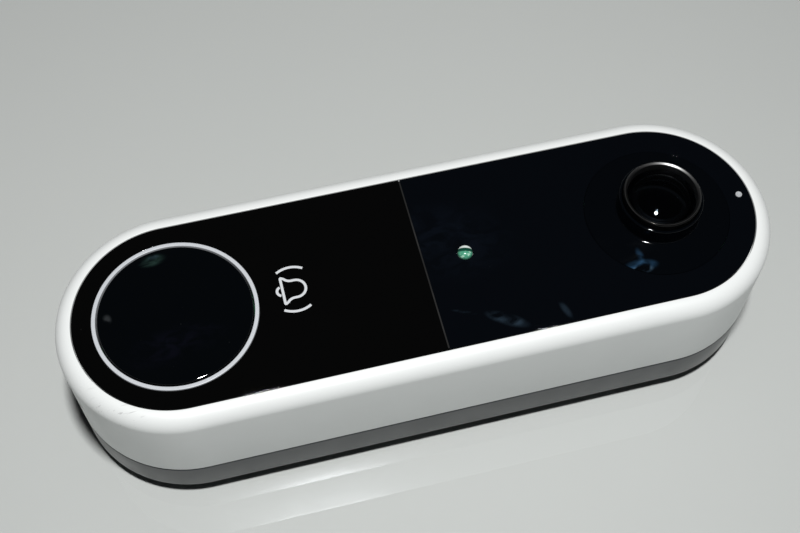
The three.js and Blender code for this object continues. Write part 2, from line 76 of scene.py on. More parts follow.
SHELL_R = shell_high.y
SPINE = shell_high.x - SHELL_R
FACE_R = upper_high.y
FACE_TOP = upper_high.z
FACE_BOTTOM = upper_low.z
PLATE_TOP = 8.0                 # the plate's rim, which its hook stands above
BUTTON_X = (ring_low.x + ring_high.x) / 2
RING_OUTER = ring_high.y
RING_WIDTH = 0.78
RING_INNER = RING_OUTER - RING_WIDTH
CAMERA_X = (bezel_low.x + bezel_high.x) / 2
DISC_R = bezel_high.y
SENSOR_X = (bead_low.x + bead_high.x) / 2
MIC_X = (mic_low.x + mic_high.x) / 2
MIC_R = mic_high.y
SEAM_X = (lower_high.x + upper_low.x) / 2
BEAD_R = 1.5
BEAD_HOLE_R = 1.62
HOLE_GAP = 0.12                 # between a face piece and what stands in its hole
DISC_GAP = 0.08
FACE_EDGE = 0.02
WALL_STEP = 0.45                # thickness of the camera disc's upright wall
WALL_FOOT = 1.3                 # height of that wall's foot over the face
BELL_X = -25.6
STROKE = 0.52
PAINT_DEPTH = 4.2               # from the doorbell's underside to the table's painted layer


# ---------------------------------------------------------------- camera

def place_camera():
    """The photograph's viewing angle: above the near long side, a little towards the button end."""
    azimuth = math.radians(-14.67)
    elevation = math.radians(59.75)
    roll = math.radians(0.72)
    distance = 242.25
    target = Vector((-4.46, -0.06, FACE_TOP))
    back = Vector((math.sin(azimuth) * math.cos(elevation), -math.cos(azimuth) * math.cos(elevation),
                   math.sin(elevation)))
    level_right = Vector((math.cos(azimuth), math.sin(azimuth), 0))
    level_up = back.cross(level_right)
    right = level_right * math.cos(roll) + level_up * math.sin(roll)
    up = back.cross(right)
    data = bpy.data.cameras.new("camera")
    data.sensor_width = 36
    data.lens = 55.98
    data.clip_start = 0.01
    data.clip_end = 10
    camera = bpy.data.objects.new("camera", data)
    bpy.context.scene.collection.objects.link(camera)
    turn = Matrix((right, up, back)).transposed().to_4x4()
    camera.matrix_world = Matrix.Translation((target + back * distance) * MM) @ turn
    bpy.context.scene.camera = camera


place_camera()


# ---------------------------------------------------------------- node materials

class Look:
    """A Principled material with small helpers, in the frame's own coordinates (metres)."""

    def __init__(self, name, **inputs):
        self.material = bpy.data.materials.new(name)
        self.material.use_nodes = True
        self.nodes = self.material.node_tree.nodes
        self.links = self.material.node_tree.links
        self.shader = self.nodes["Principled BSDF"]
        self.place = self.nodes.new("ShaderNodeTexCoord").outputs["Object"]
        for key, value in inputs.items():
            self.shader.inputs[key.replace("_", " ")].default_value = value

    def feed(self, socket, source):
        if hasattr(source, "is_linked"):
            self.links.new(source, socket)
        else:
            socket.default_value = source

    def node(self, kind, **settings):
        made = self.nodes.new("ShaderNode" + kind)
        for key, value in settings.items():
            setattr(made, key, value)
        return made

    def noise(self, scale, detail=3.0, stretch=(1, 1, 1), turn=0.0, roughness=0.5, distortion=0.0):
        mapping = self.node("Mapping")
        mapping.inputs["Rotation"].default_value = (0, 0, turn)
        mapping.inputs["Scale"].default_value = stretch
        self.links.new(self.place, mapping.inputs["Vector"])
        noise = self.node("TexNoise")
        self.links.new(mapping.outputs[0], noise.inputs["Vector"])
        noise.inputs["Scale"].default_value = scale
        noise.inputs["Detail"].default_value = detail
        noise.inputs["Roughness"].default_value = roughness
        noise.inputs["Distortion"].default_value = distortion
        return noise.outputs["Fac"]

    def ramp(self, value, low, high, to_low=0.0, to_high=1.0):
        span = self.node("MapRange", interpolation_type="SMOOTHSTEP")
        self.feed(span.inputs["Value"], value)
        span.inputs["From Min"].default_value = low
        span.inputs["From Max"].default_value = high
        span.inputs["To Min"].default_value = to_low
        span.inputs["To Max"].default_value = to_high
        return span.outputs["Result"]

    def math(self, operation, a, b=0.5):
        made = self.node("Math", operation=operation)
        self.feed(made.inputs[0], a)
        self.feed(made.inputs[1], b)
        return made.outputs[0]

    def mix(self, factor, a, b):
        made = self.node("Mix", data_type="RGBA")
        self.feed(made.inputs[0], factor)
        self.feed(made.inputs[6], a)
        self.feed(made.inputs[7], b)
        return made.outputs[2]

    def patch(self, centre, size, turn=0.0, hardness=0.2):
        """1 inside an ellipsoid about centre (mm) with these half-axes (mm), falling softly to 0 outside."""
        mapping = self.node("Mapping", vector_type="TEXTURE")
        mapping.inputs["Location"].default_value = [c * MM for c in centre]
        mapping.inputs["Rotation"].default_value = (0, 0, turn)
        mapping.inputs["Scale"].default_value = [s * MM for s in size]
        self.links.new(self.place, mapping.inputs["Vector"])
        length = self.node("VectorMath", operation="LENGTH")
        self.links.new(mapping.outputs[0], length.inputs[0])
        return self.ramp(length.outputs["Value"], hardness, 1.0, 1.0, 0.0)

    def bump(self, height, strength, distance):
        made = self.node("Bump")
        made.inputs["Strength"].default_value = strength
        made.inputs["Distance"].default_value = distance * MM
        self.feed(made.inputs["Height"], height)
        self.links.new(made.outputs[0], self.shader.inputs["Normal"])

    def colour(self, source):
        self.feed(self.shader.inputs["Base Color"], source)

    def roughness(self, source):
        self.feed(self.shader.inputs["Roughness"], source)


def grey(level, alpha=1.0):
    return (level, level, level, alpha)


def moulded(name, colour, roughness, grain=0.02, grain_scale=9000, variation=0.06, **inputs):
    """Moulded plastic: a fine texture, slow colour drift, and roughness that follows handling marks."""
    look = Look(name, **inputs)
    drift = look.noise(60, detail=4)
    darker = tuple(c * (1 - variation) for c in colour[:3]) + (1,)
    lighter = tuple(min(1, c * (1 + variation)) for c in colour[:3]) + (1,)
    look.colour(look.mix(drift, darker, lighter))
    handling = look.noise(130, detail=6, stretch=(1, 2.2, 1), turn=0.5)
    look.roughness(look.ramp(handling, 0.25, 0.8, roughness * 0.85, roughness * 1.2))
    look.bump(look.noise(grain_scale, detail=2), 0.25, grain)
    return look


def white_shell_look():
    look = moulded("white_shell", (0.755, 0.775, 0.77, 1), 0.42, grain=0.002, variation=0.008)
    look.shader.inputs["Coat Weight"].default_value = 0.12
    look.shader.inputs["Coat Roughness"].default_value = 0.2
    base = look.shader.inputs["Base Color"].links[0].from_socket
    scratches = look.noise(420, detail=2, stretch=(0.5, 7.0, 3.0), turn=0.72, distortion=0.6)
    where = look.patch((-SPINE - 13, -SHELL_R + 7.4, FACE_TOP - 1), (9, 6, 5), turn=-0.75)
    fine = look.math("MULTIPLY", look.ramp(scratches, 0.63, 0.68), where)
    look.colour(look.mix(look.math("MULTIPLY", fine, 0.6), base, grey(0.42)))
    return look


def gloss_black_look(name, colour, smears_and_highlights=()):
    """Piano black. Faint wipe marks dull it a little, and each smear patch paints a thin film at one place; on
    the camera disc these patches also paint a highlight.
    """
    look = Look(name, IOR=1.49, Coat_Weight=0.4, Coat_Roughness=0.02)
    wipe = look.noise(95, detail=7, stretch=(1, 3.2, 1), turn=0.6, distortion=0.8)
    film = look.ramp(wipe, 0.55, 0.85, 0.0, 0.35)
    specks = look.ramp(look.noise(1500, detail=1), 0.82, 0.85)
    base = look.mix(look.math("MULTIPLY", specks, 0.03), colour, grey(0.5))
    rough = look.ramp(wipe, 0.45, 0.9, 0.035, 0.14)
    for centre, size, turn, tint, strength in smears_and_highlights:
        patch = look.patch(centre, size, turn)
        streak = look.noise(230, detail=5, stretch=(1, 1.7, 1), turn=-turn + 0.4, distortion=0.7)
        mark = look.math("MULTIPLY", patch, look.ramp(streak, 0.36, 0.66))
        base = look.mix(look.math("MULTIPLY", mark, strength), base, tint)
    look.colour(base)
    look.roughness(rough)
    look.bump(film, 0.12, 0.01)
    return look


def thin_clear_look(name, tint, film=0.02):
    """A clear moulded window: light passes straight through, and the surface mirrors more at a glance."""
    look = Look(name)
    nodes, links = look.nodes, look.links
    nodes.remove(look.shader)
    clear = nodes.new("ShaderNodeBsdfTransparent")
    clear.inputs["Color"].default_value = tint
    gloss = nodes.new("ShaderNodeBsdfGlossy")
    gloss.inputs["Color"].default_value = (0.92, 0.96, 1.0, 1)
    marks = look.noise(220, detail=6, stretch=(1, 2.5, 1), distortion=0.5)
    links.new(look.ramp(marks, 0.4, 0.8, 0.01, 0.05), gloss.inputs["Roughness"])
    fresnel = nodes.new("ShaderNodeFresnel")
    fresnel.inputs["IOR"].default_value = 1.5
    amount = look.math("ADD", fresnel.outputs[0], look.ramp(marks, 0.6, 0.9, 0.0, film))
    mixed = nodes.new("ShaderNodeMixShader")
    links.new(amount, mixed.inputs[0])
    links.new(clear.outputs[0], mixed.inputs[1])
    links.new(gloss.outputs[0], mixed.inputs[2])
    links.new(mixed.outputs[0], nodes["Material Output"].inputs["Surface"])
    return look


def metal(name, colour, roughness, brushed=True):
    look = Look(name, Metallic=1.0)
    lines = look.noise(900, detail=3, stretch=(1, 14, 1) if brushed else (1, 1, 1))
    shade = tuple(c * 0.82 for c in colour[:3]) + (1,)
    look.colour(look.mix(lines, shade, colour))
    look.roughness(look.ramp(lines, 0.2, 0.8, roughness * 0.7, roughness * 1.3))
    look.bump(lines, 0.1, 0.01)
    return look


def circuit_board(name):
    """Green solder mask over a net of copper tracks, with plated spots."""
    look = Look(name, Roughness=0.35, Coat_Weight=0.3)
    tracks = look.node("TexBrick")
    mapping = look.node("Mapping")
    mapping.inputs["Scale"].default_value = (420, 420, 420)
    look.links.new(look.place, mapping.inputs["Vector"])
    look.links.new(mapping.outputs[0], tracks.inputs["Vector"])
    tracks.inputs["Color1"].default_value = (0.012, 0.075, 0.035, 1)
    tracks.inputs["Color2"].default_value = (0.016, 0.10, 0.045, 1)
    tracks.inputs["Mortar"].default_value = (0.03, 0.17, 0.075, 1)
    tracks.inputs["Mortar Size"].default_value = 0.05
    spots = look.node("TexVoronoi")
    spots.inputs["Scale"].default_value = 260
    look.links.new(look.place, spots.inputs["Vector"])
    plated = look.ramp(spots.outputs["Distance"], 0.16, 0.2, 1.0, 0.0)
    look.colour(look.mix(plated, tracks.outputs["Color"], (0.66, 0.58, 0.34, 1)))
    look.bump(tracks.outputs["Fac"], 0.2, 0.05)
    return look


# Film colours for smears; the blue ones also paint the camera disc's highlight into its colour.
film_white = (0.40, 0.44, 0.47, 1)
film_and_highlight_blue = (0.07, 0.21, 0.42, 1)
film_and_highlight_pale_blue = (0.20, 0.34, 0.50, 1)
LOOKS = {
    "white_shell": white_shell_look(),
    "gloss_black": gloss_black_look("gloss_black", grey(0.0012)),
    "gloss_blue_black": gloss_black_look("gloss_blue_black", (0.0011, 0.0017, 0.0028, 1), smears_and_highlights=[
        ((12.6, -16.2, FACE_TOP), (5.0, 1.5, 3), -0.54, film_and_highlight_pale_blue, 0.095),
        ((5.2, -12.8, FACE_TOP), (3.0, 0.45, 3), -0.40, film_and_highlight_pale_blue, 0.045),
        ((24.0, -16.9, FACE_TOP), (0.9, 2.6, 3), 0.30, film_and_highlight_pale_blue, 0.040),
        ((5.0, 4.0, FACE_TOP), (17.0, 11.0, 3), -0.35, (0.06, 0.09, 0.17, 1), 0.018),
    ]),
    "dark_plastic": moulded("dark_plastic", (0.052, 0.056, 0.059, 1), 0.34, grain=0.004),
    "inner_plastic": moulded("inner_plastic", (0.03, 0.03, 0.032, 1), 0.5, grain=0.03),
    "light_grey": moulded("light_grey", (0.56, 0.58, 0.60, 1), 0.38, grain=0.004, variation=0.02),
    "clear_window": thin_clear_look("clear_window", (0.42, 0.45, 0.48, 1)),
    "lens_glass": gloss_black_look("lens_glass", (0.0015, 0.002, 0.004, 1)),
    "filter_glass": gloss_black_look("filter_glass", (0.05, 0.01, 0.03, 1)),
    "silicone": moulded("silicone", (0.05, 0.052, 0.055, 1), 0.6, grain=0.02),
    "foam_rubber": moulded("foam_rubber", (0.012, 0.012, 0.012, 1), 0.8, grain=0.15, grain_scale=2500),
    "board": circuit_board("board"),
    "chip": moulded("chip", (0.007, 0.007, 0.008, 1), 0.4, grain=0.01),
    "steel": metal("steel", (0.62, 0.63, 0.64, 1), 0.28),
    "contact_gold": metal("contact_gold", (0.85, 0.62, 0.27, 1), 0.22, brushed=False),
    "battery_wrap": moulded("battery_wrap", (0.02, 0.05, 0.10, 1), 0.3, grain=0.01),
    "speaker_paper": moulded("speaker_paper", (0.02, 0.02, 0.022, 1), 0.7, grain=0.05),
}


def dress_cad_nodes():
    """Every carried-over CAD node takes its slot's material, with softened edges."""
    for part in frame["record"]["subparts"]:
        node = frame["nodes"][part["node"]]
        node.data.materials.clear()
        node.data.materials.append(LOOKS[part["material_slot"]].material)
        bevel = node.modifiers.new("edges", "BEVEL")
        bevel.width = 0.08 * MM
        bevel.segments = 2
        bevel.limit_method = "ANGLE"
        bevel.angle_limit = math.radians(40)
        bevel.use_clamp_overlap = True


dress_cad_nodes()


# ---------------------------------------------------------------- mesh helpers (millimetres in, metres out)

def finish_piece(piece, slot, body, replaced=(), look=None, sharp=35):
    """Gives a new piece its material (its slot's look unless another is given), smooth shading with true edges,
    and the body it rides on.
    """
    piece.data.materials.clear()
    piece.data.materials.append((look or LOOKS[slot]).material)
    if piece.type == "MESH":
        piece.data.shade_smooth()
        piece.data.set_sharp_from_angle(angle=math.radians(sharp))
    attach(piece, body)
    if replaced:
        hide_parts(*replaced)
    return piece


def object_from(bm, name):
    bmesh.ops.remove_doubles(bm, verts=bm.verts, dist=1e-4)
    bmesh.ops.recalc_face_normals(bm, faces=bm.faces)
    bmesh.ops.scale(bm, vec=(MM, MM, MM), verts=bm.verts)
    mesh = bpy.data.meshes.new(name)
    bm.to_mesh(mesh)
    bm.free()
    made = bpy.data.objects.new(name, mesh)
    bpy.context.scene.collection.objects.link(made)
    return made


def arc(centre, radius, start, end, steps=10):
    """Points of an arc, angles in degrees, both ends included."""
    turns = [math.radians(start + (end - start) * i / steps) for i in range(steps + 1)]
    return [(centre[0] + radius * math.cos(t), centre[1] + radius * math.sin(t)) for t in turns]


def softened(points, radius, steps=3, closed=True):
    """A polygon with each sharp corner turned into a short curve, so that edges catch light."""
    made = []
    count = len(points)
    for i, here in enumerate(points):
        before, after = Vector(points[i - 1]), Vector(points[(i + 1) % count])
        corner = Vector(here)
        if not closed and i in (0, count - 1):
            made.append(here)
            continue
        to_before, to_after = before - corner, after - corner
        bend = math.pi - to_before.angle(to_after, math.pi)
        if bend < math.radians(25):
            made.append(here)
            continue
        reach = min(radius, to_before.length * 0.45, to_after.length * 0.45)
        a = corner + to_before.normalized() * reach
        c = corner + to_after.normalized() * reach
        for s in range(steps + 1):
            t = s / steps
            made.append(tuple(a * (1 - t) ** 2 + corner * 2 * t * (1 - t) + c * t * t))
    return made


def sweep(bm, profile, stations, closed_profile=True):
    """Carries a profile of (radius, z) round stations of (centre x, centre y, angle), closing on itself."""
    rings = []
    for x, y, turn in stations:
        rings.append([bm.verts.new((x + r * math.cos(turn), y + r * math.sin(turn), z)) for r, z in profile])
    spans = len(profile) if closed_profile else len(profile) - 1
    for i, ring in enumerate(rings):
        following = rings[(i + 1) % len(rings)]
        for p in range(spans):
            q = (p + 1) % len(profile)
            bm.faces.new((ring[p], following[p], following[q], ring[q]))


def stadium_stations(steps=64):
    right = [(SPINE, 0, -math.pi / 2 + math.pi * i / steps) for i in range(steps + 1)]
    left = [(-SPINE, 0, math.pi / 2 + math.pi * i / steps) for i in range(steps + 1)]
    return right + left


def stadium_ring(name, profile):
    bm = bmesh.new()
    sweep(bm, profile, stadium_stations())
    return object_from(bm, name)


def turned(name, profile, x, y=0.0, steps=128):
    """A solid of revolution about an upright line. A profile that starts and ends at radius 0 closes there."""
    bm = bmesh.new()
    on_axis = profile[0][0] == 0 and profile[-1][0] == 0
    sweep(bm, profile, [(x, y, 2 * math.pi * i / steps) for i in range(steps)], not on_axis)
    bmesh.ops.dissolve_degenerate(bm, dist=1e-6, edges=bm.edges)
    return object_from(bm, name)


def circle(x, y, radius, steps=128):
    return [(x + radius * math.cos(2 * math.pi * i / steps), y + radius * math.sin(2 * math.pi * i / steps))
            for i in range(steps)]


def stadium(radius, x0=None, x1=None, steps=64):
    left, right = (-SPINE if x0 is None else x0), (SPINE if x1 is None else x1)
    return arc((right, 0), radius, -90, 90, steps) + arc((left, 0), radius, 90, 270, steps)


def rounded_box(x0, x1, y0, y1, radius, steps=8):
    corners = [((x1 - radius, y0 + radius), -90), ((x1 - radius, y1 - radius), 0),
               ((x0 + radius, y1 - radius), 90), ((x0 + radius, y0 + radius), 180)]
    return [p for centre, start in corners for p in arc(centre, radius, start, start + 90, steps)]


def sheet_of(name, loops, z0, z1, edge=0.12):
    """A flat plate between two heights, from an outline and its holes, with rounded edges."""
    data = bpy.data.curves.new(name, "CURVE")
    data.dimensions = "2D"
    data.fill_mode = "BOTH"
    data.extrude = (z1 - z0) / 2 * MM - edge * MM
    data.bevel_depth = edge * MM
    data.bevel_resolution = 3
    data.offset = -edge * MM
    for loop in loops:
        spline = data.splines.new("POLY")
        spline.points.add(len(loop) - 1)
        for point, (x, y) in zip(spline.points, loop):
            point.co = (x * MM, y * MM, 0, 1)
        spline.use_cyclic_u = True
    curve = bpy.data.objects.new(name + "_outline", data)
    bpy.context.scene.collection.objects.link(curve)
    bpy.context.view_layer.update()
    mesh = bpy.data.meshes.new_from_object(curve.evaluated_get(bpy.context.evaluated_depsgraph_get()))
    mesh.name = name
    mesh.transform(Matrix.Translation((0, 0, (z0 + z1) / 2 * MM)))
    made = bpy.data.objects.new(name, mesh)
    bpy.context.scene.collection.objects.link(made)
    bpy.data.objects.remove(curve)
    return made


def soft_block(bm, x_range, y_range, z_range, edge=0.2):
    """Adds a box with rounded edges to a bmesh."""
    size = [high - low for low, high in (x_range, y_range, z_range)]
    middle = [(low + high) / 2 for low, high in (x_range, y_range, z_range)]
    made = bmesh.ops.create_cube(bm, size=1.0)["verts"]
    bmesh.ops.scale(bm, vec=size, verts=made)
    bmesh.ops.translate(bm, vec=middle, verts=made)
    edges = list({e for v in made for e in v.link_edges})
    bmesh.ops.bevel(bm, geom=edges, offset=min(edge, min(size) * 0.3), segments=3, affect="EDGES", profile=0.5)


def apply_modifiers(piece):
    bpy.context.view_layer.update()
    evaluated = piece.evaluated_get(bpy.context.evaluated_depsgraph_get())
    mesh = bpy.data.meshes.new_from_object(evaluated)
    piece.modifiers.clear()
    piece.data = mesh
    return piece


def carve(piece, *tools):
    """Cuts each tool out of a piece and removes the tool."""
    for tool in tools:
        cut = piece.modifiers.new("cut", "BOOLEAN")
        cut.operation = "DIFFERENCE"
        cut.solver = "EXACT"
        cut.object = tool
        apply_modifiers(piece)
        bpy.data.objects.remove(tool)
    return piece


def merge(name, *pieces):
    """Joins loose pieces into one object."""
    bm = bmesh.new()
    for piece in pieces:
        piece.data.transform(piece.matrix_world)
        bm.from_mesh(piece.data)
        bpy.data.objects.remove(piece)
    mesh = bpy.data.meshes.new(name)
    bm.to_mesh(mesh)
    bm.free()
    made = bpy.data.objects.new(name, mesh)
    bpy.context.scene.collection.objects.link(made)
    return made


# ---------------------------------------------------------------- shell

def make_shell():
    fillet = 3.2
    inner = cover_high.y + 0.3
    rim_inner = FACE_R + 0.2
    ledge_top = FACE_BOTTOM - 0.3
    ledge_bottom = ledge_top - 1.5
    ledge_r = 18.6
    outline = [(SHELL_R, shell_low.z)]
    outline += arc((SHELL_R - fillet, shell_high.z - fillet), fillet, 0, 90, 18)
    outline += [(rim_inner, shell_high.z), (rim_inner, ledge_top), (ledge_r, ledge_top), (ledge_r, ledge_bottom),
                (inner, ledge_bottom), (inner, shell_low.z)]
    shell = stadium_ring("shell", softened(outline, 0.18))
    slot_z, half_height, half_length = 18.5, 0.75, 10
    mouth = rounded_box(-half_height, half_height, -half_length, half_length, 0.74)
    slot = sheet_of("slot_tool", [mouth], -5, 5, edge=0.01)
    slot.data.transform(Matrix.Rotation(math.pi / 2, 4, "Y"))
    slot.data.transform(Matrix.Translation(Vector((-SPINE - SHELL_R, 0, slot_z)) * MM))
    carve(shell, slot)
    finish_piece(shell, "white_shell", "doorbell", ["front_shell"])


# ---------------------------------------------------------------- face

def make_faces():
    left = [(lower_high.x, -FACE_R), (lower_high.x, FACE_R)] + arc((-SPINE, 0), FACE_R, 90, 270, 64)
    ring_hole = circle(BUTTON_X, 0, RING_OUTER + HOLE_GAP)
    lower = sheet_of("lower_face", [left, ring_hole], FACE_BOTTOM, FACE_TOP, edge=FACE_EDGE)
    finish_piece(lower, "gloss_black", "doorbell", ["lower_fascia"])
    right = arc((SPINE, 0), FACE_R, -90, 90, 64) + [(upper_low.x, FACE_R), (upper_low.x, -FACE_R)]
    holes = [circle(CAMERA_X, 0, DISC_R + DISC_GAP), circle(SENSOR_X, 0, BEAD_HOLE_R, 48),
             circle(MIC_X, 0, MIC_R + HOLE_GAP, 32)]
    upper = sheet_of("upper_face", [right, *holes], FACE_BOTTOM, FACE_TOP, edge=FACE_EDGE)
    finish_piece(upper, "gloss_blue_black", "doorbell", ["upper_fascia"])
    half = (upper_low.x - lower_high.x) / 2 - 0.01
    reach = FACE_R - 0.3
    strip = [(SEAM_X - half, -reach), (SEAM_X + half, -reach), (SEAM_X + half, reach), (SEAM_X - half, reach)]
    dust = sheet_of("seam_dust", [strip], FACE_TOP - 0.45, FACE_TOP - 0.04, edge=FACE_EDGE)
    finish_piece(dust, "silicone", "doorbell", look=seam_dust_look())


def seam_dust_look():
    """Grey dust that has settled unevenly in the seam."""
    look = Look("seam_dust", Roughness=0.9)
    spread = look.noise(260, detail=5, stretch=(1, 0.6, 1))
    look.colour(look.mix(look.ramp(spread, 0.38, 0.66), grey(0.001), grey(0.010)))
    return look


# ---------------------------------------------------------------- bell mark

def make_bell_mark():
    """A plain bell outline with one sound arc a side, printed flat. It is upright with the camera end up."""
    side = arc((3.6, -0.1), 1.7, 232, 180, 6)
    dome = arc((0, 0.5), 1.9, 0, 180, 16)
    half = [(3.0, -2.1)] + side
    bell = half + dome + [(-x, y) for x, y in reversed(half)]
    strokes = [(softened(bell, 0.3, 4), True), (arc((0, -2.2), 1.0, 200, 340, 10), False)]
    for facing in (0, 180):
        strokes.append((arc((0, 0.0), 4.9, facing - 32, facing + 32, 14), False))
    data = bpy.data.curves.new("bell_mark", "CURVE")
    data.dimensions = "3D"
    data.bevel_depth = STROKE / 2 * MM
    data.bevel_resolution = 4
    data.use_fill_caps = True
    for points, closed in strokes:
        spline = data.splines.new("POLY")
        spline.points.add(len(points) - 1)
        for point, (across, up) in zip(spline.points, points):
            point.co = ((BELL_X + up) * MM, -across * MM, 0, 1)
        spline.use_cyclic_u = closed
    curve = bpy.data.objects.new("bell_outline", data)
    bpy.context.scene.collection.objects.link(curve)
    bpy.context.view_layer.update()
    mesh = bpy.data.meshes.new_from_object(curve.evaluated_get(bpy.context.evaluated_depsgraph_get()))
    mesh.transform(Matrix.Diagonal((1, 1, 0.05, 1)))
    mesh.transform(Matrix.Translation((0, 0, (FACE_TOP + 0.004) * MM)))
    mark = bpy.data.objects.new("bell_mark", mesh)
    bpy.context.scene.collection.objects.link(mark)
    bpy.data.objects.remove(curve)
    finish_piece(mark, "light_grey", "doorbell")


# ---------------------------------------------------------------- camera

def make_camera_parts():
    bore = lens_ring_high.y + 0.15
    top = bezel_high.z
    wall, hollow, lip = bore + WALL_STEP, 0.45, 0.25
    foot = [(wall + hollow - hollow * math.sin(a), FACE_TOP + WALL_FOOT + hollow * (1 - math.cos(a)))
            for a in [math.radians(13 + 7 * i) for i in range(12)]]
    outline = [(bore, FACE_BOTTOM), (DISC_R, FACE_BOTTOM), (DISC_R, FACE_TOP + 0.02)] + foot
    outline += arc((wall - lip, top - lip), lip, 0, 90, 10) + [(bore, top)]
    finish_piece(turned("camera_disc", outline, CAMERA_X), "gloss_black", "doorbell", ["camera_bezel"],
                 look=disc_look(), sharp=30)

    outer, inner, ring_top = lens_ring_high.y, window_high.y + 0.08, lens_ring_high.z
    rim = [(inner, lens_ring_low.z), (outer, lens_ring_low.z), (outer, ring_top - 0.7),
           (outer - 0.12, ring_top - 0.2), (outer - 0.3, ring_top), (inner, ring_top - 0.24)]
    lens_rim = turned("lens_rim", softened(rim, 0.1, 5), CAMERA_X)
    finish_piece(lens_rim, "gloss_black", "doorbell", ["lens_ring"], look=rim_look())

    edge, sag, thick = window_high.y, 2.2, 0.8
    sphere = (edge * edge + sag * sag) / (2 * sag)
    centre = (0, window_high.z - sphere)
    outer_angle = math.degrees(math.acos(edge / sphere))
    inner_angle = math.degrees(math.acos((edge - thick) / (sphere - thick)))
    skirt = window_low.z
    dome_out = arc(centre, sphere, outer_angle, 90, 28)
    dome_in = arc(centre, sphere - thick, 90, inner_angle, 28)
    dome_out[-1], dome_in[0] = (0, dome_out[-1][1]), (0, dome_in[0][1])
    outline = dome_in + [(edge - thick, skirt), (edge, skirt)] + dome_out
    lens_window = turned("lens_window", outline, CAMERA_X)
    finish_piece(lens_window, "clear_window", "doorbell", ["lens_cover"], sharp=60)

    tube_r, tube_in = barrel_high.y, barrel_high.y - 0.8
    tube = [(tube_in, barrel_low.z), (tube_r, barrel_low.z), (tube_r, barrel_high.z), (tube_in, barrel_high.z)]
    finish_piece(turned("lens_tube", softened(tube, 0.2), CAMERA_X), "chip", "doorbell", ["lens_barrel"])

    trim_r, trim_in, trim_top = trim_high.y, 4.45, trim_high.z
    grooves = [(trim_in, trim_low.z), (trim_r, trim_low.z), (trim_r, trim_top - 0.25), (5.35, trim_top - 0.02),
               (5.05, trim_top - 0.2), (4.8, trim_top), (trim_in, trim_top - 0.15)]
    lens_trim = turned("lens_trim", softened(grooves, 0.1), CAMERA_X)
    finish_piece(lens_trim, "steel", "doorbell", ["lens_trim_ring"], look=LOOKS["chip"])

    glass_r = front_glass_high.y
    bulge = [(glass_r * math.sin(a), front_glass_high.z - 2.2 * (1 - math.cos(a)))
             for a in [math.pi / 2 * i / 20 for i in range(21)]]
    glass = [(0, front_glass_low.z), (glass_r, front_glass_low.z)] + bulge[::-1]
    glass[-1] = (0, front_glass_high.z)
    finish_piece(turned("front_glass", glass, CAMERA_X), "lens_glass", "doorbell", ["lens_front_element"])


def rim_look():
    """The lens rim: glossy black outside, with a satin inner chamfer that shows where light falls on it."""
    look = Look("lens_rim", IOR=1.4)
    chamfer = look.patch((CAMERA_X, 0, FACE_TOP), (7.5, 7.5, 100), hardness=0.97)
    satin = look.mix(look.noise(900, detail=3), grey(0.08), grey(0.11))
    look.colour(look.mix(chamfer, grey(0.001), satin))
    look.feed(look.shader.inputs["Metallic"], chamfer)
    look.roughness(look.ramp(chamfer, 0, 1, 0.06, 0.33))
    return look


def disc_look():
    """The camera disc: piano black, with a bluish highlight of the key light painted low on its near flank over
    a thin film.
    """
    look = gloss_black_look("camera_disc", (0.0009, 0.0014, 0.0022, 1), smears_and_highlights=[
        # Painted highlight: these patches put the key light's bluish glint on the near flank into the colour,
        # over a thin film.
        ((CAMERA_X - 7.4, -11.3, FACE_TOP + 1.0), (4.0, 1.6, 3.0), -0.15, film_and_highlight_blue, 0.34),
        ((CAMERA_X - 7.3, -12.0, FACE_TOP + 0.8), (2.6, 1.0, 3.0), -0.15, film_and_highlight_pale_blue, 0.70),
        ((CAMERA_X - 6.9, -9.3, FACE_TOP + 1.4), (0.9, 2.1, 3.0), 0.15, film_and_highlight_blue, 0.10),
    ])
    look.shader.inputs["Coat Weight"].default_value = 0.0
    return look


# ---------------------------------------------------------------- light sensor and microphone port

def make_sensor():
    top = bead_high.z
    stem_r, flange_r, flange_low, flange_top, rise = 1.2, 2.3, 26.0, 27.4, 0.95
    dome = [(BEAD_R * math.sin(a), top - rise * (1 - math.cos(a)))
            for a in [math.pi / 2 * i / 16 for i in range(17)]]
    outline = [(0, bead_low.z), (stem_r, bead_low.z), (stem_r, flange_low), (flange_r, flange_low),
               (flange_r, flange_top), (BEAD_R, flange_top)]
    outline += dome[::-1]
    outline[-1] = (0, top)
    bead = turned("sensor_bead", outline, SENSOR_X, steps=64)
    finish_piece(bead, "clear_window", "doorbell", ["sensor_lens"], look=bead_look(), sharp=50)


def bead_look():
    """Clear resin over a pale sensor: a far side painted pale as a highlight, a deep green band across, and mint
    on the near side.
    """
    look = Look("sensor_bead", Roughness=0.06, IOR=1.5, Coat_Weight=0.5)
    band = look.patch((SENSOR_X, 0.15, FACE_TOP), (4.0, 0.55, 6), turn=-0.256, hardness=0.5)
    near_half = look.patch((SENSOR_X - 0.35, -1.35, FACE_TOP), (3.2, 1.5, 6), turn=-0.256, hardness=0.85)
    # Painted highlight: the pale far side stands for light caught in the clear bead.
    painted_highlight_pale = look.mix(look.noise(900, detail=3), (0.62, 0.72, 0.68, 1), (0.86, 0.92, 0.89, 1))
    spots = look.ramp(look.noise(1700, detail=1), 0.50, 0.62)
    mint = look.mix(spots, (0.07, 0.30, 0.19, 1), (0.34, 0.60, 0.46, 1))
    look.colour(look.mix(band, look.mix(near_half, painted_highlight_pale, mint), (0.004, 0.05, 0.03, 1)))
    return look


def make_microphone_port():
    outline = [(0, mic_low.z), (MIC_R, mic_low.z), (MIC_R, mic_high.z), (MIC_R * 0.55, mic_high.z),
               (MIC_R * 0.45, mic_high.z - 0.12), (0, mic_high.z - 0.12)]
    port = turned("port", softened(outline, 0.06, closed=False), MIC_X, steps=48)
    port_look = moulded("port", (0.40, 0.415, 0.43, 1), 0.4, grain=0.003)
    finish_piece(port, "light_grey", "doorbell", ["microphone_port"], look=port_look)


# ---------------------------------------------------------------- button

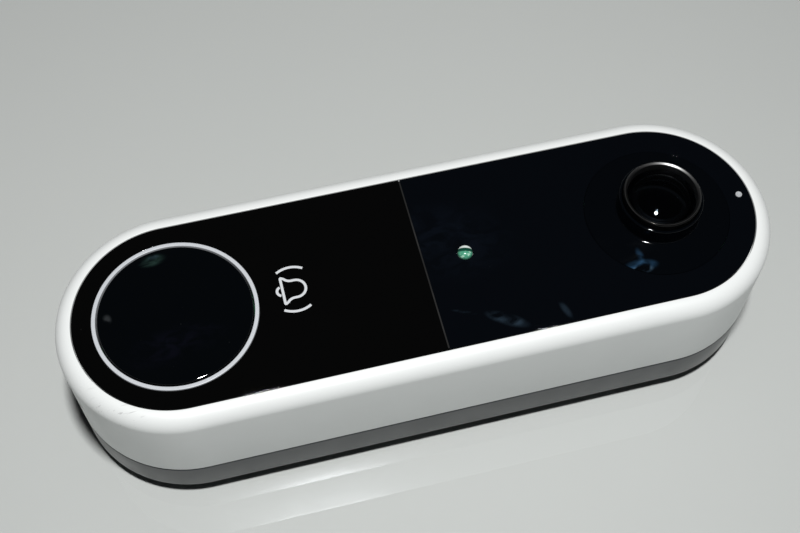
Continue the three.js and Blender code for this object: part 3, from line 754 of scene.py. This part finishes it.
def make_button():
    radius, top, disc_bottom, edge = cap_high.y, cap_high.z, cap_high.z - 2.7, 0.32
    crown = 0.12
    dished = [(radius - edge - (radius - edge) * i / 16, top - crown * (1 - i / 16) ** 2) for i in range(17)]
    rim = arc((radius - edge, top - crown - edge), edge, 0, 90, 10)
    stem_r = 2.6
    outline = [(0, cap_low.z), (stem_r, cap_low.z), (stem_r, disc_bottom), (radius, disc_bottom)]
    outline += rim[:-1] + dished
    outline[-1] = (0, top)
    finish_piece(turned("push_button", outline, BUTTON_X, steps=160), "gloss_black", "button", ["button_cap"],
                 look=button_look(), sharp=50)
    ring = [(RING_INNER, ring_low.z), (RING_OUTER, ring_low.z), (RING_OUTER, ring_high.z),
            (RING_INNER, ring_high.z)]
    light_ring = turned("light_ring", softened(ring, 0.14, 4), BUTTON_X, steps=160)
    finish_piece(light_ring, "light_grey", "doorbell", ["button_light_ring"], look=ring_look())


def button_look():
    """Piano black with finger marks: one pale and greenish at the far edge, one grey dot, one violet haze."""
    return gloss_black_look("button", (0.0008, 0.0013, 0.0019, 1), smears_and_highlights=[
        ((BUTTON_X - 2.6, 12.6, cap_high.z), (3.4, 1.6, 3), 0.1, (0.14, 0.30, 0.25, 1), 0.14),
        ((BUTTON_X - 2.3, 13.2, cap_high.z), (1.5, 0.7, 3), 0.1, film_and_highlight_pale_blue, 0.12),
        ((BUTTON_X - 12.7, 1.8, cap_high.z), (1.0, 1.4, 3), 0.3, film_white, 0.05),
        ((BUTTON_X - 1.0, -6.5, cap_high.z), (12.0, 4.5, 3), 0.15, (0.12, 0.10, 0.26, 1), 0.012),
    ])


def ring_look():
    """Milky light guide: pale grey with a cool cast."""
    look = moulded("ring", (0.52, 0.54, 0.57, 1), 0.32, grain=0.003, variation=0.02)
    look.shader.inputs["Subsurface Weight"].default_value = 0.2
    look.shader.inputs["Subsurface Radius"].default_value = (0.001, 0.001, 0.001)
    return look


# ---------------------------------------------------------------- wall plate, rear cover and screws

def make_plate():
    floor, wall = 2.4, 2.2
    profile = [(SHELL_R - wall, 0.4), (SHELL_R - wall, 0.0), (SHELL_R, 0.0), (SHELL_R, PLATE_TOP),
               (SHELL_R - wall, PLATE_TOP)]
    rim = stadium_ring("rim", softened(profile, 0.35, 4))
    bosses_x, screw_r = (-40.0, 40.0), 2.2
    holes = [circle(x, 0, screw_r, 48) for x in bosses_x] + [rounded_box(6, 22, -9, 9, 3)]
    base = sheet_of("base", [stadium(SHELL_R - 1.0), *holes], 0.0, floor)
    boss = softened([(4.2, 2.2), (6.0, 2.2), (6.0, 4.0), (3.2, 4.0), (screw_r, 2.9), (screw_r, 2.2)], 0.2)
    bosses = [turned("boss", boss, x, steps=64) for x in bosses_x]
    bm = bmesh.new()
    soft_block(bm, (64.0, 65.3), (-5, 5), (2.0, 12.9))
    soft_block(bm, (64.2, 67.1), (-5, 5), (11.5, 12.9))
    soft_block(bm, (-52.1, -50.7), (-3.5, 3.5), (2.0, 4.7))
    for side in (-1, 1):
        soft_block(bm, (-65.5, -56.5), sorted((side * 5.25, side * 6.55)), (2.0, 5.7))
        soft_block(bm, (-65.5, -56.5), sorted((side * 4.4, side * 5.5)), (4.9, 5.7))
        soft_block(bm, (-68.0, -66.8), sorted((side * 2.0, side * 5.2)), (2.0, 4.7))
    ribs = object_from(bm, "ribs")
    pin = turned("pin_tool", [(0, -4), (0.9, -4), (0.9, 4), (0, 4)], 0, steps=32)
    pin.data.transform(Matrix.Rotation(math.pi / 2, 4, "Y"))
    pin.data.transform(Matrix.Translation(Vector((-SPINE - SHELL_R, 0, 3.6)) * MM))
    carve(rim, pin)
    plate = merge("wall_plate_shell", rim, base, *bosses, ribs)
    finish_piece(plate, "dark_plastic", "wall_plate", ["mounting_plate"])


def make_rear_cover():
    holes = [circle(sx * 58, sy * 14.5, 1.3, 32) for sx in (-1, 1) for sy in (-1, 1)]
    holes += [circle(36, side * 6, 1.7, 32) for side in (-1, 1)]
    holes += [rounded_box(63.0, 65.8, -5.6, 5.6, 0.4), rounded_box(-64.4, -60.4, -4.6, 4.6, 0.4)]
    cover = sheet_of("back_cover", [stadium(cover_high.y), *holes], cover_low.z, cover_high.z, edge=0.15)
    finish_piece(cover, "dark_plastic", "doorbell", ["rear_cover"])


def make_screw(node, head_r, shank_r):
    """Pan-head screw, head down, with a cross recess."""
    low, high = millimetres(node)
    x, y = (low.x + high.x) / 2, (low.y + high.y) / 2
    head_top = low.z + (2.0 if head_r > 2.5 else 1.0)
    crown = [(head_r * math.sin(a), low.z + 0.45 * (1 - math.cos(a))) for a in
             [math.pi / 2 * i / 8 for i in range(9)]]
    crown[0] = (0, low.z)
    outline = crown + [(head_r, head_top), (shank_r, head_top), (shank_r, high.z - shank_r), (0, high.z)]
    body = turned(node + "_turned", outline, x, y, steps=48)
    for half_x, half_y, depth in ((0.62, 0.14, 0.6), (0.14, 0.62, 0.61)):
        arm = bmesh.new()
        across, along = head_r * half_x, head_r * half_y
        soft_block(arm, (x - across, x + across), (y - along, y + along), (low.z - 1, low.z + depth), edge=0.05)
        carve(body, object_from(arm, "recess_tool"))
    finish_piece(body, "steel", "doorbell", [node])


# ---------------------------------------------------------------- table, lights and world

def make_table():
    """A pale table top: a matt painted layer, and over it a clear surface that mirrors faintly."""
    painted = table_plane("table_paint", -PAINT_DEPTH)
    look = Look("table_paint", Roughness=0.6)
    look.shader.inputs["Specular IOR Level"].default_value = 0.0
    look.colour(look.mix(look.noise(7, detail=3), (0.500, 0.520, 0.508, 1), (0.525, 0.540, 0.528, 1)))
    painted.data.materials.append(look.material)
    glass = table_plane("table_glass", -PAINT_DEPTH * 0.6)
    glass.data.materials.append(table_glass_look().material)


def table_glass_look():
    """The table top's polished surface: it mirrors towards the camera and lets all other light through."""
    look = thin_clear_look("table_glass", grey(1.0), film=0.0)
    path = look.node("LightPath")
    mixer = look.nodes["Material Output"].inputs["Surface"].links[0].from_node
    fresnel = mixer.inputs[0].links[0].from_socket
    look.links.new(look.math("MULTIPLY", fresnel, path.outputs["Is Camera Ray"]), mixer.inputs[0])
    return look


def table_plane(name, height):
    bm = bmesh.new()
    bmesh.ops.create_grid(bm, x_segments=2, y_segments=2, size=2500)
    plane = object_from(bm, name)
    plane.location.z = height * MM
    return plane


def area_light(name, place, target, size, power, colour):
    """A flat light of this width and height, facing its target."""
    data = bpy.data.lights.new(name, "AREA")
    data.shape = "ELLIPSE"
    data.size, data.size_y = size[0] * MM, size[1] * MM
    data.energy = power
    data.color = colour
    light = bpy.data.objects.new(name, data)
    bpy.context.scene.collection.objects.link(light)
    light.location = Vector(place) * MM
    light.rotation_mode = "QUATERNION"
    light.rotation_quaternion = (Vector(target) - Vector(place)).to_track_quat("-Z", "Y")
    light.visible_camera = False
    return light


def light_scene():
    area_light("key", (-12, -88, 500), (-5, 0, 0), (44, 44), 2.85, (1.0, 1.0, 0.995))
    window = area_light("window", (300, -430, 50), (0, 0, 12), (380, 44), 0.16, (0.96, 0.98, 1.0))
    window.visible_glossy = False
    world = bpy.data.worlds.new("world")
    bpy.context.scene.world = world
    world.use_nodes = True
    nodes, links = world.node_tree.nodes, world.node_tree.links
    seen = nodes.new("ShaderNodeLightPath")
    mixed = nodes.new("ShaderNodeMixShader")
    room = nodes["Background"]
    room.inputs["Color"].default_value = (0.9, 0.95, 1.0, 1)
    room.inputs["Strength"].default_value = 0.012
    backdrop = nodes.new("ShaderNodeBackground")
    backdrop.inputs["Color"].default_value = (0.60, 0.61, 0.61, 1)
    links.new(seen.outputs["Is Camera Ray"], mixed.inputs[0])
    links.new(room.outputs[0], mixed.inputs[1])
    links.new(backdrop.outputs[0], mixed.inputs[2])
    links.new(mixed.outputs[0], nodes["World Output"].inputs["Surface"])
    bpy.context.scene.view_settings.view_transform = "Standard"


make_shell()
make_faces()
make_bell_mark()
make_camera_parts()
make_sensor()
make_microphone_port()
make_button()
make_plate()
make_rear_cover()
for number in (1, 2, 3, 4):
    make_screw(f"cover_screw_{number}", 1.9, 0.8)
for number in (1, 2):
    make_screw(f"terminal_screw_{number}", 3.1, 1.3)
make_table()
light_scene()
